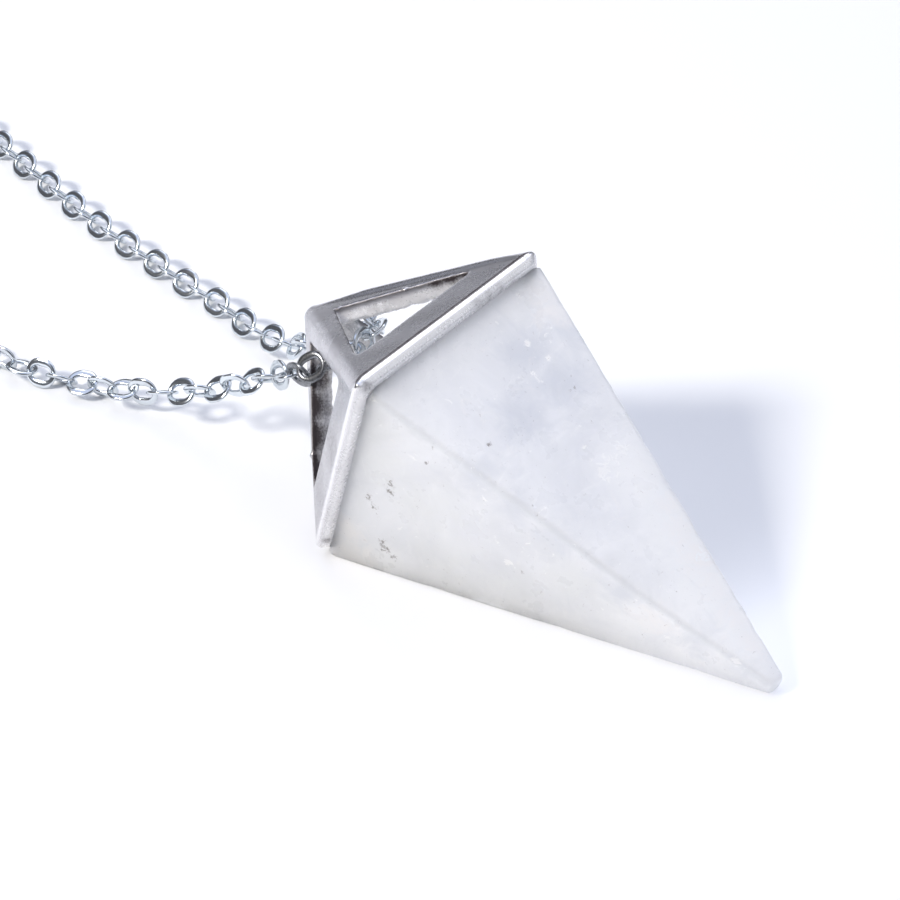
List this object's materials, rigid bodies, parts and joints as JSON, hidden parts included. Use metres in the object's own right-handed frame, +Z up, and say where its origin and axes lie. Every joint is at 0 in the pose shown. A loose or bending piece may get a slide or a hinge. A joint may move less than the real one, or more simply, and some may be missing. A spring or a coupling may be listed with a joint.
{
  "type": "crystal point pendant necklace",
  "caption": "Four-sided milky crystal point hanging from an open pyramid cap of silver on a fine cable chain with a plain barrel clasp, laid out on a flat surface",
  "frame": {"origin": "On the flat surface that the necklace lies on, under the middle of its bounding box.", "axes": "+Y runs from the stone's tip along the necklace toward the clasp, +X is to the right seen from above with the clasp at the top, and +Z is up, away from the surface."},
  "size_m": [0.0996, 0.2136, 0.0168],
  "materials": {
    "crystal": "polished milky quartz",
    "cap_metal": "satin grey silver",
    "chain_metal": "polished silver"
  },
  "bodies": {
    "root": {"crystal_point": "crystal", "cap_frame": "cap_metal", "chain_front": "chain_metal", "chain_back": "chain_metal", "clasp": "chain_metal"}
  },
  "joints": []
}
